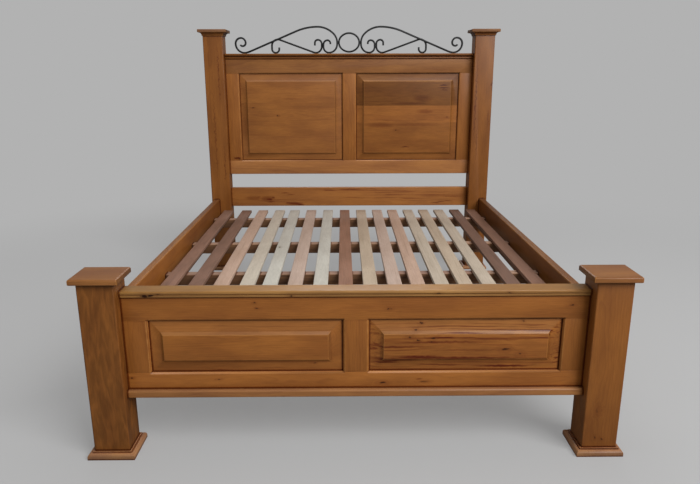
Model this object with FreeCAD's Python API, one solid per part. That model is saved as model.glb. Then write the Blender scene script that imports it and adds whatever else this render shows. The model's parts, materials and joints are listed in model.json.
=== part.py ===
import FreeCAD, Part
import math
import os

# Queen-size wooden bed: post-and-panel headboard and footboard, hooked side rails,
# a slatted base that lifts out, and a wrought-iron scroll crest on the headboard.
# Millimetres. +Z is up, +Y runs from the foot of the bed to its head, +X is the right
# side seen from the foot. The origin is on the floor, under the middle of the whole bed.

Vector = FreeCAD.Vector

# Mattress that the frame is made for, and the room left around it
mattress_width = 1530.0
mattress_length = 2030.0
mattress_side_gap = 8.0
mattress_end_gap = 5.0

# Posts
post_side = 110.0
post_edge_round = 4.0
head_post_above_rail = 94.0
foot_post_above_rail = 36.0

# Head post caps: a square plate over a cove
head_cap_overhang = 24.0
head_cap_plate = 16.0
head_cap_cove = 18.0
head_cap_neck = 4.0
head_cap_neck_step = 4.0
head_cap_lip = 3.0
head_cap_round = 3.0

# Foot post caps: a plain square plate with rounded edges
foot_cap_overhang = 17.0
foot_cap_plate = 18.0
foot_cap_top_round = 6.0
foot_cap_under_round = 3.0

# Base mouldings, mitred round the foot of each post
base_overhang = 18.0
base_height = 24.0
base_edge = 9.0
base_shoulder = 5.0
base_quirk = 2.0
base_bead = 4.0

# Frame-and-panel boards between the posts
board_thickness = 34.0
board_setback = 46.0
member_edge_ease = 2.0
opening_ease = 5.0
end_stile_width = 76.0
centre_stile_width = 80.0
groove_width = 10.0
groove_depth = 12.0
joint_clearance = 0.2
tongue_end_gap = 1.0
tenon_length = 35.0
tenon_thickness = 14.0
tenon_shoulder = 8.0

# Raised and fielded panels: a sloping border, a steep shoulder, and a field proud of the frame
panel_side_gap = 2.0
panel_border_width = 36.5
panel_border_setback = 1.0
panel_shoulder_width = 8.5
panel_field_proud = 8.0

# Headboard heights
headboard_rail_width = 80.0
headboard_opening_height = 494.0
headboard_floor_gap = 578.0
lower_rail_width = 110.0
lower_rail_floor_gap = 385.0

# Headboard cap rail: bead, cove and top plate
head_moulding_height = 28.0
head_moulding_plate = 10.0
head_moulding_bead = 9.0
head_moulding_overhang = 13.0
head_moulding_bead_overhang = 6.0
head_moulding_round = 2.5

# Footboard heights
footboard_rail_width = 76.0
footboard_opening_height = 171.0
footboard_floor_gap = 190.0

# Footboard cap rail: a rounded nosing over a set-back fillet
foot_moulding_height = 19.0
foot_moulding_front_overhang = 8.0
foot_moulding_back_overhang = 24.0
foot_moulding_fillet = 10.0
foot_moulding_step = 2.5
foot_moulding_round = 4.0

# Lip along the bottom of the footboard
lip_height = 23.0
lip_reach = 18.0
lip_top_round = 7.0
lip_under_round = 2.5

# Side rails
side_rail_thickness = 32.0
side_rail_width = 180.0
side_rail_floor_gap = 254.0
side_rail_setback = 13.0
side_rail_ease = 3.0

# Ledger that carries the slatted base along each side rail
ledger_side = 28.0
ledger_end_gap = 30.0

# Slatted base
rail_above_slats = 61.0
slat_count = 16
slat_width = 56.0
slat_thickness = 15.0
slat_edge_ease = 1.5
lift_clearance = 4.0
bearer_width = 46.0
bearer_height = 46.0
bearer_edge_ease = 2.0
bearer_end_gap = 2.0
bearer_place_shares = (0.085, 0.354, 0.617, 0.911)
slat_place_shares = (
    -0.463, -0.394, -0.331, -0.266, -0.209, -0.146, -0.082, -0.019,
    0.043, 0.104, 0.162, 0.222, 0.281, 0.340, 0.401, 0.464,
)

# Hooked plate in each end of a side rail, and the slotted plate that it hangs in
plate_thickness = 3.0
plate_width = 22.0
plate_height = 124.0
hook_thickness = 4.0
hook_spacing = 66.0
hook_nose = 4.0
hook_drop = 26.0
hook_neck = 16.0
hook_clearance = 0.5

# Wrought-iron crest of square bar: centre-line radii and runs, and turns in degrees
bar_side = 10.0
weld_gap = 0.1
crest_end_gap = 59.0
ring_half_width = 57.5
ring_half_height = 50.0
ring_centre_height = 60.0
shoulder_side_radius = 65.5
shoulder_top_radius = 128.5
shoulder_long_radius = 320.0
shoulder_slope = 22.3
outer_lead_radius = 120.0
outer_lead_turn = 12.0
outer_curl_radii = (49.0, 31.0, 26.0, 18.0)
outer_tip_radius = 12.0
outer_tip_turn = 70.0
main_curl_low_radius = 46.5
main_curl_side_radius = 31.0
main_curl_side_run = 13.0
main_curl_top_radius = 23.0
main_curl_tip_radius = 16.0
main_curl_tip_run = 5.0
inner_curl_low_radius = 34.0
inner_curl_side_run = 14.0
inner_curl_top_radius = 22.0
inner_curl_tip_radius = 17.0
inner_curl_tip_run = 14.0
hook_reach = 438.0
hook_centre_height = 43.0
hook_top_radius = 34.0
hook_low_radius = 20.5
hook_tip_run = 9.0
stud_side = 5.0
stud_length = 20.0

# Places that follow from the sizes above
half_clear = mattress_width / 2 + mattress_side_gap
rail_outer = half_clear + side_rail_thickness
post_outer = rail_outer + side_rail_setback
post_inner = post_outer - post_side
clear_length = mattress_length + 2 * mattress_end_gap
front_reach = max(base_overhang, foot_cap_overhang)
rear_reach = max(base_overhang, head_cap_overhang)
overall_length = front_reach + post_side + clear_length + post_side + rear_reach
foot_front = front_reach - overall_length / 2
foot_back = foot_front + post_side
head_front = foot_back + clear_length
head_back = head_front + post_side
side_rail_top = side_rail_floor_gap + side_rail_width
slat_top = side_rail_top - rail_above_slats
slat_bottom = slat_top - slat_thickness
bearer_bottom = slat_bottom - bearer_height
headboard_top = headboard_floor_gap + 2 * headboard_rail_width + headboard_opening_height
footboard_top = footboard_floor_gap + 2 * footboard_rail_width + footboard_opening_height
crest_floor = headboard_top + head_moulding_height
head_post_top = crest_floor + head_post_above_rail
foot_post_top = footboard_top + foot_moulding_height + foot_post_above_rail
headboard_front = head_front + board_setback
footboard_front = foot_front + board_setback
crest_y = headboard_front + board_thickness / 2
half_bar = bar_side / 2

LEFT, RIGHT = -1, 1
SIDE_NAMES = {LEFT: "left", RIGHT: "right"}


def sine(degrees):
    """The sine of an angle in degrees."""
    return math.sin(math.radians(degrees))


def cosine(degrees):
    """The cosine of an angle in degrees."""
    return math.cos(math.radians(degrees))


def box(low, high):
    """A block between its lowest and highest corners, each given as x, y, z."""
    size = [high[i] - low[i] for i in range(3)]
    return Part.makeBox(size[0], size[1], size[2], Vector(*low))


def mirrored(low_x, high_x, side):
    """The x range of a piece that is drawn on the right, for the side it is on."""
    return (low_x, high_x) if side == RIGHT else (-high_x, -low_x)


def long_edges(block, axis):
    """The four edges of a block that run along one axis."""
    found = []
    for edge in block.Edges:
        ends = [(v.X, v.Y, v.Z) for v in edge.Vertexes]
        others = [i for i in range(3) if i != axis]
        if all(math.isclose(ends[0][i], ends[1][i], abs_tol=edge.Length / 1e6) for i in others):
            found.append(edge)
    return found


def rounded_block(low, high, radius, axis):
    """A block whose four edges along one axis are rounded."""
    block = box(low, high)
    return block.makeFillet(radius, long_edges(block, axis))


def eased_block(low, high, ease, axis):
    """A block whose four edges along one axis are eased with a narrow chamfer."""
    block = box(low, high)
    return block.makeChamfer(ease, long_edges(block, axis))


def outline_face(stretches, place):
    """A flat face from a list of points; a pair of points is an arc through the first to the second."""
    edges = []
    start = place(*stretches[0])
    here = start
    for stretch in stretches[1:] + [stretches[0]]:
        if isinstance(stretch[0], tuple):
            middle, end = place(*stretch[0]), place(*stretch[1])
            edges.append(Part.Arc(here, middle, end).toShape())
        else:
            end = place(*stretch)
            if here.distanceToPoint(end) > 0:
                edges.append(Part.LineSegment(here, end).toShape())
        here = end
    return Part.Face(Part.Wire(edges))


def end_point(stretch):
    """The point where a stretch of an outline ends."""
    return stretch[1] if isinstance(stretch[0], tuple) else stretch


def reversed_outline(stretches):
    """The same outline, run the other way."""
    turned = [end_point(stretches[-1])]
    for before, stretch in reversed(list(zip(stretches, stretches[1:]))):
        if isinstance(stretch[0], tuple):
            turned.append((stretch[0], end_point(before)))
        else:
            turned.append(end_point(before))
    return turned


def flipped(stretches):
    """The same outline, mirrored to the other side of the middle."""
    def flip(point):
        return (-point[0], point[1])
    return [(flip(s[0]), flip(s[1])) if isinstance(s[0], tuple) else flip(s) for s in stretches]


def corner_arc(corner, start, end):
    """The arc that rounds a right-angled corner from start to end, as a pair for an outline."""
    centre = (start[0] + end[0] - corner[0], start[1] + end[1] - corner[1])
    reach = math.hypot(corner[0] - centre[0], corner[1] - centre[1])
    radius = math.hypot(start[0] - centre[0], start[1] - centre[1])
    share = radius / reach
    middle = (centre[0] + (corner[0] - centre[0]) * share, centre[1] + (corner[1] - centre[1]) * share)
    return (middle, end)


def quarter_curve(start, end, leaves_upright):
    """A quarter turn from start to end, as a pair for an outline."""
    near, far = 1 - math.sqrt(1 / 2), math.sqrt(1 / 2)
    shares = (near, far) if leaves_upright else (far, near)
    middle = tuple(start[i] + (end[i] - start[i]) * shares[i] for i in range(2))
    return (middle, end)


def square_turned(half_outline, middle_x, middle_y, floor):
    """A block, square in plan, with the same half outline on all four sides.

    The outline runs up the outside as (distance from the middle, height).
    """
    whole = half_outline + flipped(reversed_outline(half_outline))
    reach = 2 * max(end_point(stretch)[0] for stretch in half_outline)
    along_y = outline_face(whole, lambda a, h: Vector(middle_x + a, middle_y - reach / 2, floor + h))
    along_x = outline_face(whole, lambda a, h: Vector(middle_x - reach / 2, middle_y + a, floor + h))
    first = along_y.extrude(Vector(0, reach, 0))
    second = along_x.extrude(Vector(reach, 0, 0))
    return first.common(second)


def moulding(stretches, half_length):
    """A moulding that runs across the bed, from its section as (y, z) points."""
    face = outline_face(stretches, lambda y, z: Vector(-half_length, y, z))
    return face.extrude(Vector(2 * half_length, 0, 0))


def post_middle_y(at_head):
    """The y of the middle of the head or foot posts."""
    return (head_front if at_head else foot_front) + post_side / 2


def tenon(side, bottom, top, board_front, clearance, extra_length):
    """The tenon of a rail, or with clearance the mortise that takes it."""
    middle = board_front + board_thickness / 2
    half = tenon_thickness / 2 + clearance
    low_x, high_x = mirrored(post_inner, post_inner + tenon_length + extra_length, side)
    low = (low_x, middle - half, bottom + tenon_shoulder - clearance)
    high = (high_x, middle + half, top - tenon_shoulder + clearance)
    return box(low, high)


def tenoned_rail(bottom, top, board_front, eased_levels):
    """A board from post to post, with a tenon at each end, its long edges eased at some levels."""
    low = (-post_inner, board_front, bottom)
    high = (post_inner, board_front + board_thickness, top)
    rail = box(low, high)
    edges = long_edges(rail, 0)
    eased = [edge for edge in edges if any(math.isclose(edge.Vertexes[0].Z, level) for level in eased_levels)]
    rail = rail.makeChamfer(member_edge_ease, eased)
    for side in (LEFT, RIGHT):
        rail = rail.fuse(tenon(side, bottom, top, board_front, 0, 0))
    return rail


def rail_groove(edge_height, upward, board_front):
    """The groove along a rail's edge, cut upwards or downwards into the rail."""
    middle = board_front + board_thickness / 2
    far = edge_height + (groove_depth if upward else -groove_depth)
    low = (-post_inner, middle - groove_width / 2, min(edge_height, far))
    high = (post_inner, middle + groove_width / 2, max(edge_height, far))
    return box(low, high)


def stile(low_x, high_x, bottom, top, board_front, grooved_edges):
    """An upright between two rails, with a tongue at each end and a groove along its inner edges."""
    upright = box((low_x, board_front, bottom), (high_x, board_front + board_thickness, top))
    middle = board_front + board_thickness / 2
    half_tongue = groove_width / 2 - joint_clearance
    reach = groove_depth - tongue_end_gap
    tongue = box((low_x, middle - half_tongue, bottom - reach), (high_x, middle + half_tongue, top + reach))
    upright = upright.fuse(tongue)
    half_groove = groove_width / 2
    for edge_x, inward in grooved_edges:
        ends = sorted((edge_x, edge_x + inward * groove_depth))
        cutter = box((ends[0], middle - half_groove, bottom - reach), (ends[1], middle + half_groove, top + reach))
        upright = upright.cut(cutter)
    return upright


def rectangle(low_x, high_x, bottom, top, y):
    """The corners of a rectangle that faces along the bed."""
    return [Vector(x, y, z) for x, z in ((low_x, bottom), (high_x, bottom), (high_x, top), (low_x, top))]


def tapered_block(wide, narrow):
    """A solid between two rectangles, with flat sloping sides."""
    faces = [Part.Face(Part.makePolygon(corners + corners[:1])) for corners in (wide, narrow)]
    for i in range(4):
        side = [wide[i - 1], wide[i], narrow[i], narrow[i - 1], wide[i - 1]]
        faces.append(Part.Face(Part.makePolygon(side)))
    return Part.makeSolid(Part.makeShell(faces))


def inset_rectangle(low_x, high_x, bottom, top, inset, y):
    """The corners of a rectangle drawn in by an inset all round."""
    return rectangle(low_x + inset, high_x - inset, bottom + inset, top - inset, y)


def opening_cutter(low_x, high_x, bottom, top, board_front):
    """A cutter that eases the front edges of rails and stiles round a panel's opening."""
    wide = inset_rectangle(low_x, high_x, bottom, top, -opening_ease, board_front)
    narrow = rectangle(low_x, high_x, bottom, top, board_front + opening_ease)
    return tapered_block(wide, narrow)


def raised_panel(low_x, high_x, bottom, top, board_front):
    """A raised and fielded panel: tongue all round, sloping border, steep shoulder and flat field."""
    middle = board_front + board_thickness / 2
    half_tongue = groove_width / 2 - joint_clearance
    spread = groove_depth - panel_side_gap
    slope_foot = middle - half_tongue
    slope_head = board_front + panel_border_setback
    field_front = board_front - panel_field_proud
    field_inset = panel_border_width + panel_shoulder_width
    slab = box((low_x - spread, slope_foot, bottom - spread), (high_x + spread, middle + half_tongue, top + spread))
    foot = rectangle(low_x, high_x, bottom, top, slope_foot)
    head = inset_rectangle(low_x, high_x, bottom, top, panel_border_width, slope_head)
    field = inset_rectangle(low_x, high_x, bottom, top, field_inset, field_front)
    return slab.fuse([tapered_block(foot, head), tapered_block(head, field)]).removeSplitter()


def frame_and_panel(name, board_front, floor_gap, rail_width, opening_height):
    """The rails, stiles and panels of a headboard or footboard."""
    opening_bottom = floor_gap + rail_width
    opening_top = opening_bottom + opening_height
    board_top = opening_top + rail_width
    half_centre = centre_stile_width / 2
    opening_end = post_inner - end_stile_width
    cutters = []
    for side in (LEFT, RIGHT):
        low_x, high_x = mirrored(half_centre, opening_end, side)
        cutters.append(opening_cutter(low_x, high_x, opening_bottom, opening_top, board_front))
    top_rail = tenoned_rail(opening_top, board_top, board_front, [board_top])
    bottom_rail = tenoned_rail(floor_gap, opening_bottom, board_front, [floor_gap])
    centre_stile = stile(
        -half_centre, half_centre, opening_bottom, opening_top, board_front,
        [(-half_centre, 1), (half_centre, -1)])
    pieces = {
        name + "_top_rail": top_rail.cut([rail_groove(opening_top, True, board_front)] + cutters),
        name + "_bottom_rail": bottom_rail.cut([rail_groove(opening_bottom, False, board_front)] + cutters),
        name + "_stile_centre": centre_stile.cut(cutters),
    }
    for side in (LEFT, RIGHT):
        label = SIDE_NAMES[side]
        low_x, high_x = mirrored(opening_end, post_inner, side)
        groove = [(side * opening_end, side)]
        end_stile = stile(low_x, high_x, opening_bottom, opening_top, board_front, groove)
        pieces[name + "_stile_" + label] = end_stile.cut(cutters)
        low_x, high_x = mirrored(half_centre, opening_end, side)
        pieces[name + "_panel_" + label] = raised_panel(low_x, high_x, opening_bottom, opening_top, board_front)
    return pieces


def board_mortises(side, at_head):
    """Cutters for the mortises of all rails that enter a post."""
    if at_head:
        lower_top = lower_rail_floor_gap + lower_rail_width
        upper_bottom = headboard_top - headboard_rail_width
        spans = [
            (headboard_floor_gap, headboard_floor_gap + headboard_rail_width),
            (upper_bottom, headboard_top),
            (lower_rail_floor_gap, lower_top),
        ]
        front = headboard_front
    else:
        upper_bottom = footboard_top - footboard_rail_width
        spans = [
            (footboard_floor_gap, footboard_floor_gap + footboard_rail_width),
            (upper_bottom, footboard_top),
        ]
        front = footboard_front
    return [tenon(side, low, high, front, joint_clearance, tongue_end_gap) for low, high in spans]


def end_plane(at_head):
    """The post face that a side rail's end meets, and the way from the rail into the post."""
    return (head_front, 1) if at_head else (foot_back, -1)


def end_block(side, at_head, half_width, near, far, bottom, top):
    """A block centred on a side rail's thickness, between two depths measured into the post."""
    face, inward = end_plane(at_head)
    middle_x = side * (half_clear + rail_outer) / 2
    ys = sorted((face + inward * near, face + inward * far))
    return box((middle_x - half_width, ys[0], bottom), (middle_x + half_width, ys[1], top))


def hook_levels():
    """The heights of the upper edge of each hook's neck."""
    middle = side_rail_floor_gap + side_rail_width / 2
    return [middle - hook_spacing / 2 + hook_neck / 2, middle + hook_spacing / 2 + hook_neck / 2]


def plate_span():
    """The lowest and highest point of the fittings' plates."""
    middle = side_rail_floor_gap + side_rail_width / 2
    return (middle - plate_height / 2, middle + plate_height / 2)


def hook_plate(side, at_head):
    """The plate let into a side rail's end, with two hooks that hang in the slotted plate."""
    bottom, top = plate_span()
    plate = end_block(side, at_head, plate_width / 2, -plate_thickness, 0, bottom, top)
    neck_end = plate_thickness + hook_clearance
    nose_end = neck_end + hook_nose
    half = hook_thickness / 2
    for level in hook_levels():
        neck = end_block(side, at_head, half, -plate_thickness, nose_end, level - hook_neck, level)
        nose = end_block(side, at_head, half, neck_end, nose_end, level - hook_drop, level)
        plate = plate.fuse([neck, nose])
    return plate.removeSplitter()


def slot_plate(side, at_head):
    """The slotted plate let into a post's face."""
    bottom, top = plate_span()
    plate = end_block(side, at_head, plate_width / 2, 0, plate_thickness, bottom, top)
    half = hook_thickness / 2 + hook_clearance
    for level in hook_levels():
        slot_bottom = level - hook_neck
        slot_top = slot_bottom + hook_drop + hook_clearance
        plate = plate.cut(end_block(side, at_head, half, 0, plate_thickness, slot_bottom, slot_top))
    return plate


def fitting_pockets(side, at_head):
    """Cutters in a post for the slotted plate and the hooks behind it."""
    bottom, top = plate_span()
    half = hook_thickness / 2 + hook_clearance
    depth = plate_thickness + hook_nose + 2 * hook_clearance
    cutters = [end_block(side, at_head, plate_width / 2, 0, plate_thickness, bottom, top)]
    for level in hook_levels():
        pocket_bottom = level - hook_drop - hook_clearance
        pocket_top = level - hook_neck + hook_drop + hook_clearance
        cutters.append(end_block(side, at_head, half, plate_thickness, depth, pocket_bottom, pocket_top))
    return cutters


def post(side, at_head):
    """A square post from the floor to its cap, with its mortises and fitting pockets."""
    front = head_front if at_head else foot_front
    top = head_post_top if at_head else foot_post_top
    low_x, high_x = mirrored(post_inner, post_outer, side)
    blank = rounded_block((low_x, front, 0), (high_x, front + post_side, top), post_edge_round, 2)
    return blank.cut(board_mortises(side, at_head) + fitting_pockets(side, at_head))


def head_cap(side):
    """A head post's cap: a neck that stands a little proud, a cove and a plate with rounded edges."""
    neck = post_side / 2 + head_cap_neck_step
    edge = post_side / 2 + head_cap_overhang
    lip = edge - head_cap_lip
    plate_top = head_cap_cove + head_cap_plate
    r = head_cap_round
    half_outline = [
        (neck, 0),
        (neck, head_cap_neck),
        quarter_curve((neck, head_cap_neck), (lip, head_cap_cove), True),
        (edge, head_cap_cove),
        (edge, plate_top - r),
        corner_arc((edge, plate_top), (edge, plate_top - r), (edge - r, plate_top)),
    ]
    middle_x = side * (post_inner + post_outer) / 2
    return square_turned(half_outline, middle_x, post_middle_y(True), head_post_top)


def foot_cap(side):
    """A foot post's cap: a flat plate, well rounded above and a little below."""
    half = post_side / 2
    edge = half + foot_cap_overhang
    low = foot_cap_under_round
    r = foot_cap_top_round
    top = foot_cap_plate
    half_outline = [
        (edge - low, 0),
        corner_arc((edge, 0), (edge - low, 0), (edge, low)),
        (edge, top - r),
        corner_arc((edge, top), (edge, top - r), (edge - r, top)),
    ]
    middle_x = side * (post_inner + post_outer) / 2
    return square_turned(half_outline, middle_x, post_middle_y(False), foot_post_top)


def base_strips(side, at_head):
    """The four mitred strips of the moulding round a post's foot."""
    half = post_side / 2
    edge = half + base_overhang
    shoulder = half + base_shoulder
    quirk_edge = shoulder + base_quirk
    quirk_level = base_height - base_bead
    reach = 2 * edge
    section = [
        (half, 0),
        (edge, 0),
        (edge, base_edge),
        quarter_curve((edge, base_edge), (quirk_edge, quirk_level), True),
        (shoulder, quirk_level),
        (shoulder, base_height),
        (half, base_height),
    ]
    strip = outline_face(section, lambda a, h: Vector(a, -reach, h)).extrude(Vector(0, 2 * reach, 0))
    corners = [Vector(0, 0, 0), Vector(reach, -reach, 0), Vector(reach, reach, 0), Vector(0, 0, 0)]
    wedge = Part.Face(Part.makePolygon(corners)).extrude(Vector(0, 0, base_height))
    mitred = strip.common(wedge)
    place = Vector(side * (post_inner + post_outer) / 2, post_middle_y(at_head), 0)
    strips = []
    for quarter in range(4):
        turned = mitred.rotated(Vector(0, 0, 0), Vector(0, 0, 1), 90 * quarter)
        strips.append(turned.translated(place))
    return strips


def head_moulding():
    """The headboard's cap rail: bead below, cove, and a plate on top."""
    front = headboard_front
    back = front + board_thickness
    r = head_moulding_round
    bead = head_moulding_bead
    plate_bottom = head_moulding_height - head_moulding_plate
    out = head_moulding_overhang
    bead_out = head_moulding_bead_overhang
    bead_mid = bead / 2
    top = head_moulding_height
    z0 = headboard_top

    def side_outline(face, outward):
        """One long side, from the board's top edge up to the plate's top."""
        def at(a, h):
            return (face + outward * a, z0 + h)
        return [
            at(0, 0),
            at(bead_out - bead_mid, 0),
            (at(bead_out, bead_mid), at(bead_out - bead_mid, bead)),
            quarter_curve(at(bead_out - bead_mid, bead), at(out - r, plate_bottom), True),
            at(out, plate_bottom),
            at(out, top - r),
            corner_arc(at(out, top), at(out, top - r), at(out - r, top)),
        ]

    section = side_outline(back, 1) + reversed_outline(side_outline(front, -1))
    return moulding(section, post_inner)


def foot_moulding():
    """The footboard's cap rail: a set-back fillet under a rounded nosing."""
    front = footboard_front
    back = front + board_thickness
    step = foot_moulding_step
    fillet = foot_moulding_fillet
    r = foot_moulding_round
    top = foot_moulding_height
    z0 = footboard_top

    def side_outline(face, outward, out):
        """One long side, from the underside up to the top."""
        def at(a, h):
            return (face + outward * a, z0 + h)
        return [
            at(out - step, 0),
            at(out - step, fillet),
            at(out, fillet),
            at(out, top - r),
            corner_arc(at(out, top), at(out, top - r), at(out - r, top)),
        ]

    front_side = side_outline(front, -1, foot_moulding_front_overhang)
    back_side = side_outline(back, 1, foot_moulding_back_overhang)
    return moulding(back_side + reversed_outline(front_side), post_inner)


def footboard_lip():
    """The rounded lip glued along the foot of the footboard's face."""
    face = footboard_front
    edge = face - lip_reach
    bottom = footboard_floor_gap
    top = bottom + lip_height
    low, high = lip_under_round, lip_top_round
    section = [
        (face, bottom),
        (face, top),
        (edge + high, top),
        corner_arc((edge, top), (edge + high, top), (edge, top - high)),
        (edge, bottom + low),
        corner_arc((edge, bottom), (edge, bottom + low), (edge + low, bottom)),
    ]
    return moulding(section, post_inner)


def side_rail(side):
    """A side rail between the posts, its ends recessed for the hooked plates."""
    low_x, high_x = mirrored(half_clear, rail_outer, side)
    low = (low_x, foot_back, side_rail_floor_gap)
    high = (high_x, head_front, side_rail_top)
    rail = eased_block(low, high, side_rail_ease, 1)
    bottom, top = plate_span()
    recesses = [end_block(side, end, plate_width / 2, -plate_thickness, 0, bottom, top) for end in (True, False)]
    return rail.cut(recesses)


def ledger(side):
    """The strip screwed to a side rail that the bearers lie on."""
    low_x, high_x = mirrored(half_clear - ledger_side, half_clear, side)
    low = (low_x, foot_back + ledger_end_gap, bearer_bottom - ledger_side)
    high = (high_x, head_front - ledger_end_gap, bearer_bottom)
    return box(low, high)


def slat_span():
    """Where the slats begin and end along the bed, so that they pass the post caps when lifted."""
    foot_gap = foot_cap_overhang + lift_clearance
    head_gap = head_cap_overhang + lift_clearance
    return (foot_back + foot_gap, head_front - head_gap)


def bearer(share):
    """A cross bearer under the slats, at a share of their length from the foot."""
    start, end = slat_span()
    middle = start + (end - start) * share
    reach = half_clear - bearer_end_gap
    low = (-reach, middle - bearer_width / 2, bearer_bottom)
    high = (reach, middle + bearer_width / 2, slat_bottom)
    return eased_block(low, high, bearer_edge_ease, 0)


def slat(share):
    """A slat that runs from foot to head, at a share of the clear width from the middle."""
    start, end = slat_span()
    middle = 2 * half_clear * share
    low = (middle - slat_width / 2, start, slat_bottom)
    high = (middle + slat_width / 2, end, slat_top)
    return eased_block(low, high, slat_edge_ease, 1)


class BentBar:
    """A square bar bent in the crest's plane, laid stretch by stretch along its centre line."""

    def __init__(self, x, z, heading):
        self.x = x
        self.z = z
        self.heading = heading
        self.left = [self.side_point(x, z, heading, 1)]
        self.right = [self.side_point(x, z, heading, -1)]

    def side_point(self, x, z, heading, hand):
        """The point on the bar's left (1) or right (-1) face beside a point of its centre line."""
        angle = math.radians(heading + 90 * hand)
        return (x + half_bar * math.cos(angle), z + half_bar * math.sin(angle))

    def run(self, length):
        """A straight stretch."""
        angle = math.radians(self.heading)
        self.x += length * math.cos(angle)
        self.z += length * math.sin(angle)
        self.left.append(self.side_point(self.x, self.z, self.heading, 1))
        self.right.append(self.side_point(self.x, self.z, self.heading, -1))
        return self

    def bend(self, radius, turn):
        """An arc of a radius, through a turn in degrees that is positive to the left."""
        hand = 1 if turn > 0 else -1
        angle = math.radians(self.heading + 90 * hand)
        centre = (self.x + radius * math.cos(angle), self.z + radius * math.sin(angle))
        left_pair, right_pair = [], []
        for passed in (turn / 2, turn):
            spoke = angle + math.pi + math.radians(passed)
            self.x = centre[0] + radius * math.cos(spoke)
            self.z = centre[1] + radius * math.sin(spoke)
            left_pair.append(self.side_point(self.x, self.z, self.heading + passed, 1))
            right_pair.append(self.side_point(self.x, self.z, self.heading + passed, -1))
        self.heading += turn
        self.left.append(tuple(left_pair))
        self.right.append(tuple(right_pair))
        return self

    def solid(self, middle_y):
        """The bar, as deep as it is wide, in the plane through middle_y."""
        whole = self.right + reversed_outline(self.left)
        face = outline_face(whole, lambda x, z: Vector(x, middle_y - half_bar, z))
        return face.extrude(Vector(0, bar_side, 0))


def mirror_to_side(shape, side):
    """A piece drawn on the left, on the side it is wanted."""
    return shape if side == LEFT else shape.mirror(Vector(0, 0, 0), Vector(1, 0, 0))


def shoulder_bar(fit):
    """The left main scroll's bar from the ring over its shoulder to where it comes round the outer curl.

    Also the x of its low point, with all radii and runs times fit.
    """
    low_line = crest_floor + half_bar
    bar = BentBar(-(fit * ring_half_width + bar_side + weld_gap), crest_floor + fit * ring_centre_height, 90)
    bar.bend(fit * shoulder_side_radius, 45)
    bar.bend(fit * shoulder_top_radius, 45)
    bar.bend(fit * shoulder_long_radius, shoulder_slope)
    lead_radius, first_radius = fit * outer_lead_radius, fit * outer_curl_radii[0]
    rest = shoulder_slope - outer_lead_turn
    lead_drop = lead_radius * (cosine(rest) - cosine(shoulder_slope))
    curl_drop = first_radius * (1 - cosine(rest))
    bar.run((bar.z - low_line - lead_drop - curl_drop) / sine(shoulder_slope))
    bar.bend(lead_radius, -outer_lead_turn)
    low_x = bar.x - first_radius * sine(rest)
    bar.bend(first_radius, -(90 + rest))
    return bar, low_x


def fit_between_posts():
    """The scale at which the crest's outer curls end at their gap from the posts."""
    least, drawn = (half_bar - shoulder_bar(fit)[0].x for fit in (0, 1))
    return (post_inner - crest_end_gap - least) / (drawn - least)


crest_fit = fit_between_posts()


def fitted(length):
    """A radius or run of the crest, scaled to the posts' spacing."""
    return length * crest_fit


def crest_ring():
    """The oval ring in the middle of the crest, bent from one bar and closed at its side."""
    half_root = math.sqrt(1 / 2)
    half_width, half_height = fitted(ring_half_width), fitted(ring_half_height)
    spread = (half_width - half_height) / (2 * half_root - 1)
    side_radius = half_width - spread * half_root
    top_radius = side_radius + spread
    halves = []
    for start_x, heading in ((-half_width, 90), (half_width, -90)):
        half = BentBar(start_x, crest_floor + fitted(ring_centre_height), heading)
        half.bend(side_radius, -45).bend(top_radius, -45).bend(top_radius, -45).bend(side_radius, -45)
        halves.append(half.solid(crest_y))
    return halves[0].fuse(halves[1]).removeSplitter()


def main_scroll():
    """The left main scroll: over the shoulder to the outer curl, and down to the curl by the ring."""
    contact_x = -(fitted(ring_half_width) + bar_side + weld_gap)
    contact_z = crest_floor + fitted(ring_centre_height)
    low_line = crest_floor + half_bar
    up, outer_low_x = shoulder_bar(crest_fit)
    for radius in outer_curl_radii[1:]:
        up.bend(fitted(radius), -90)
    up.bend(fitted(outer_tip_radius), -outer_tip_turn)
    down = BentBar(contact_x, contact_z, -90)
    down.run(contact_z - low_line - fitted(main_curl_low_radius))
    down.bend(fitted(main_curl_low_radius), -90)
    low_x = down.x
    down.bend(fitted(main_curl_side_radius), -90)
    side_x = down.x
    down.run(fitted(main_curl_side_run))
    down.bend(fitted(main_curl_top_radius), -90)
    down.bend(fitted(main_curl_tip_radius), -90)
    down.run(fitted(main_curl_tip_run))
    scroll = up.solid(crest_y).fuse(down.solid(crest_y)).removeSplitter()
    return scroll, side_x, (outer_low_x, low_x)


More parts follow.
